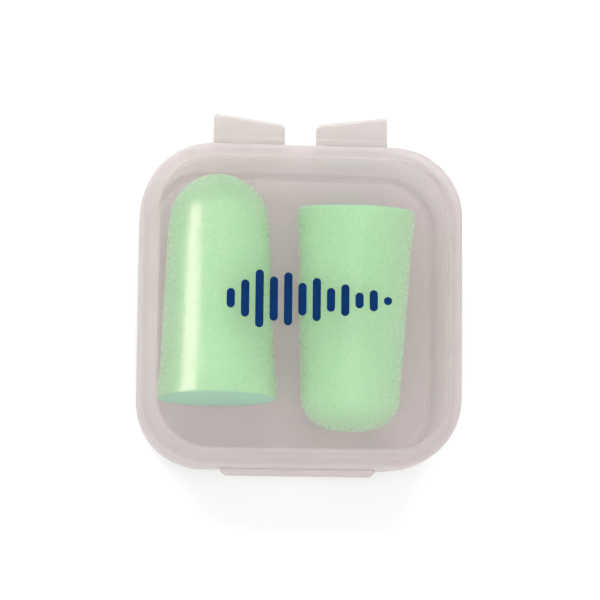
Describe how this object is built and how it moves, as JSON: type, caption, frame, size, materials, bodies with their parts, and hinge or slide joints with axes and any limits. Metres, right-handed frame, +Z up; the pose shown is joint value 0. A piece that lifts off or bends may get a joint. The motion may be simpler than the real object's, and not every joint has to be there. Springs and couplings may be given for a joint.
{
  "type": "foam ear plugs in case",
  "caption": "Tapered foam ear plugs in a small square frosted hinged plastic case with snap lid and thumb tab.",
  "frame": {"origin": "centre of the tray's flat underside, with the case closed and lying on its back", "axes": "+Z up through the lid, +Y towards the hinge straps, -Y towards the thumb tab, +X to the right as seen from above with the hinge away from the viewer"},
  "size_m": [0.037, 0.0419, 0.017],
  "materials": {
    "case_plastic": "frosted translucent polypropylene",
    "foam": "soft matt slow-recovery foam with a smooth skin",
    "mark_ink": "semi-gloss pad-printed ink"
  },
  "bodies": {
    "tray": {"base_tray": "case_plastic", "hinge_leaf_base_left": "case_plastic", "hinge_leaf_base_right": "case_plastic", "hinge_film_left": "case_plastic", "hinge_film_right": "case_plastic"},
    "lid": {"lid_cover": "case_plastic", "hinge_leaf_lid_left": "case_plastic", "hinge_leaf_lid_right": "case_plastic", "lid_mark": "mark_ink"},
    "plug_left": {"foam_plug_left": "foam"},
    "plug_right": {"foam_plug_right": "foam"}
  },
  "joints": [
    {"name": "lid_hinge", "type": "hinge", "parent": "tray", "child": "lid", "pos_m": [0, 0.02218, 0.0104], "axis": [-1, 0, 0], "range_deg": [0, 178], "deforming": ["hinge_film_left", "hinge_film_right"]},
    {"name": "plug_left_slide", "type": "slide", "parent": "tray", "child": "plug_left", "axis": [0, 1, 0], "range_m": [-0.0036, 0.001]},
    {"name": "plug_right_slide", "type": "slide", "parent": "tray", "child": "plug_right", "axis": [0, 1, 0], "range_m": [-0.003, 0.0044]}
  ]
}
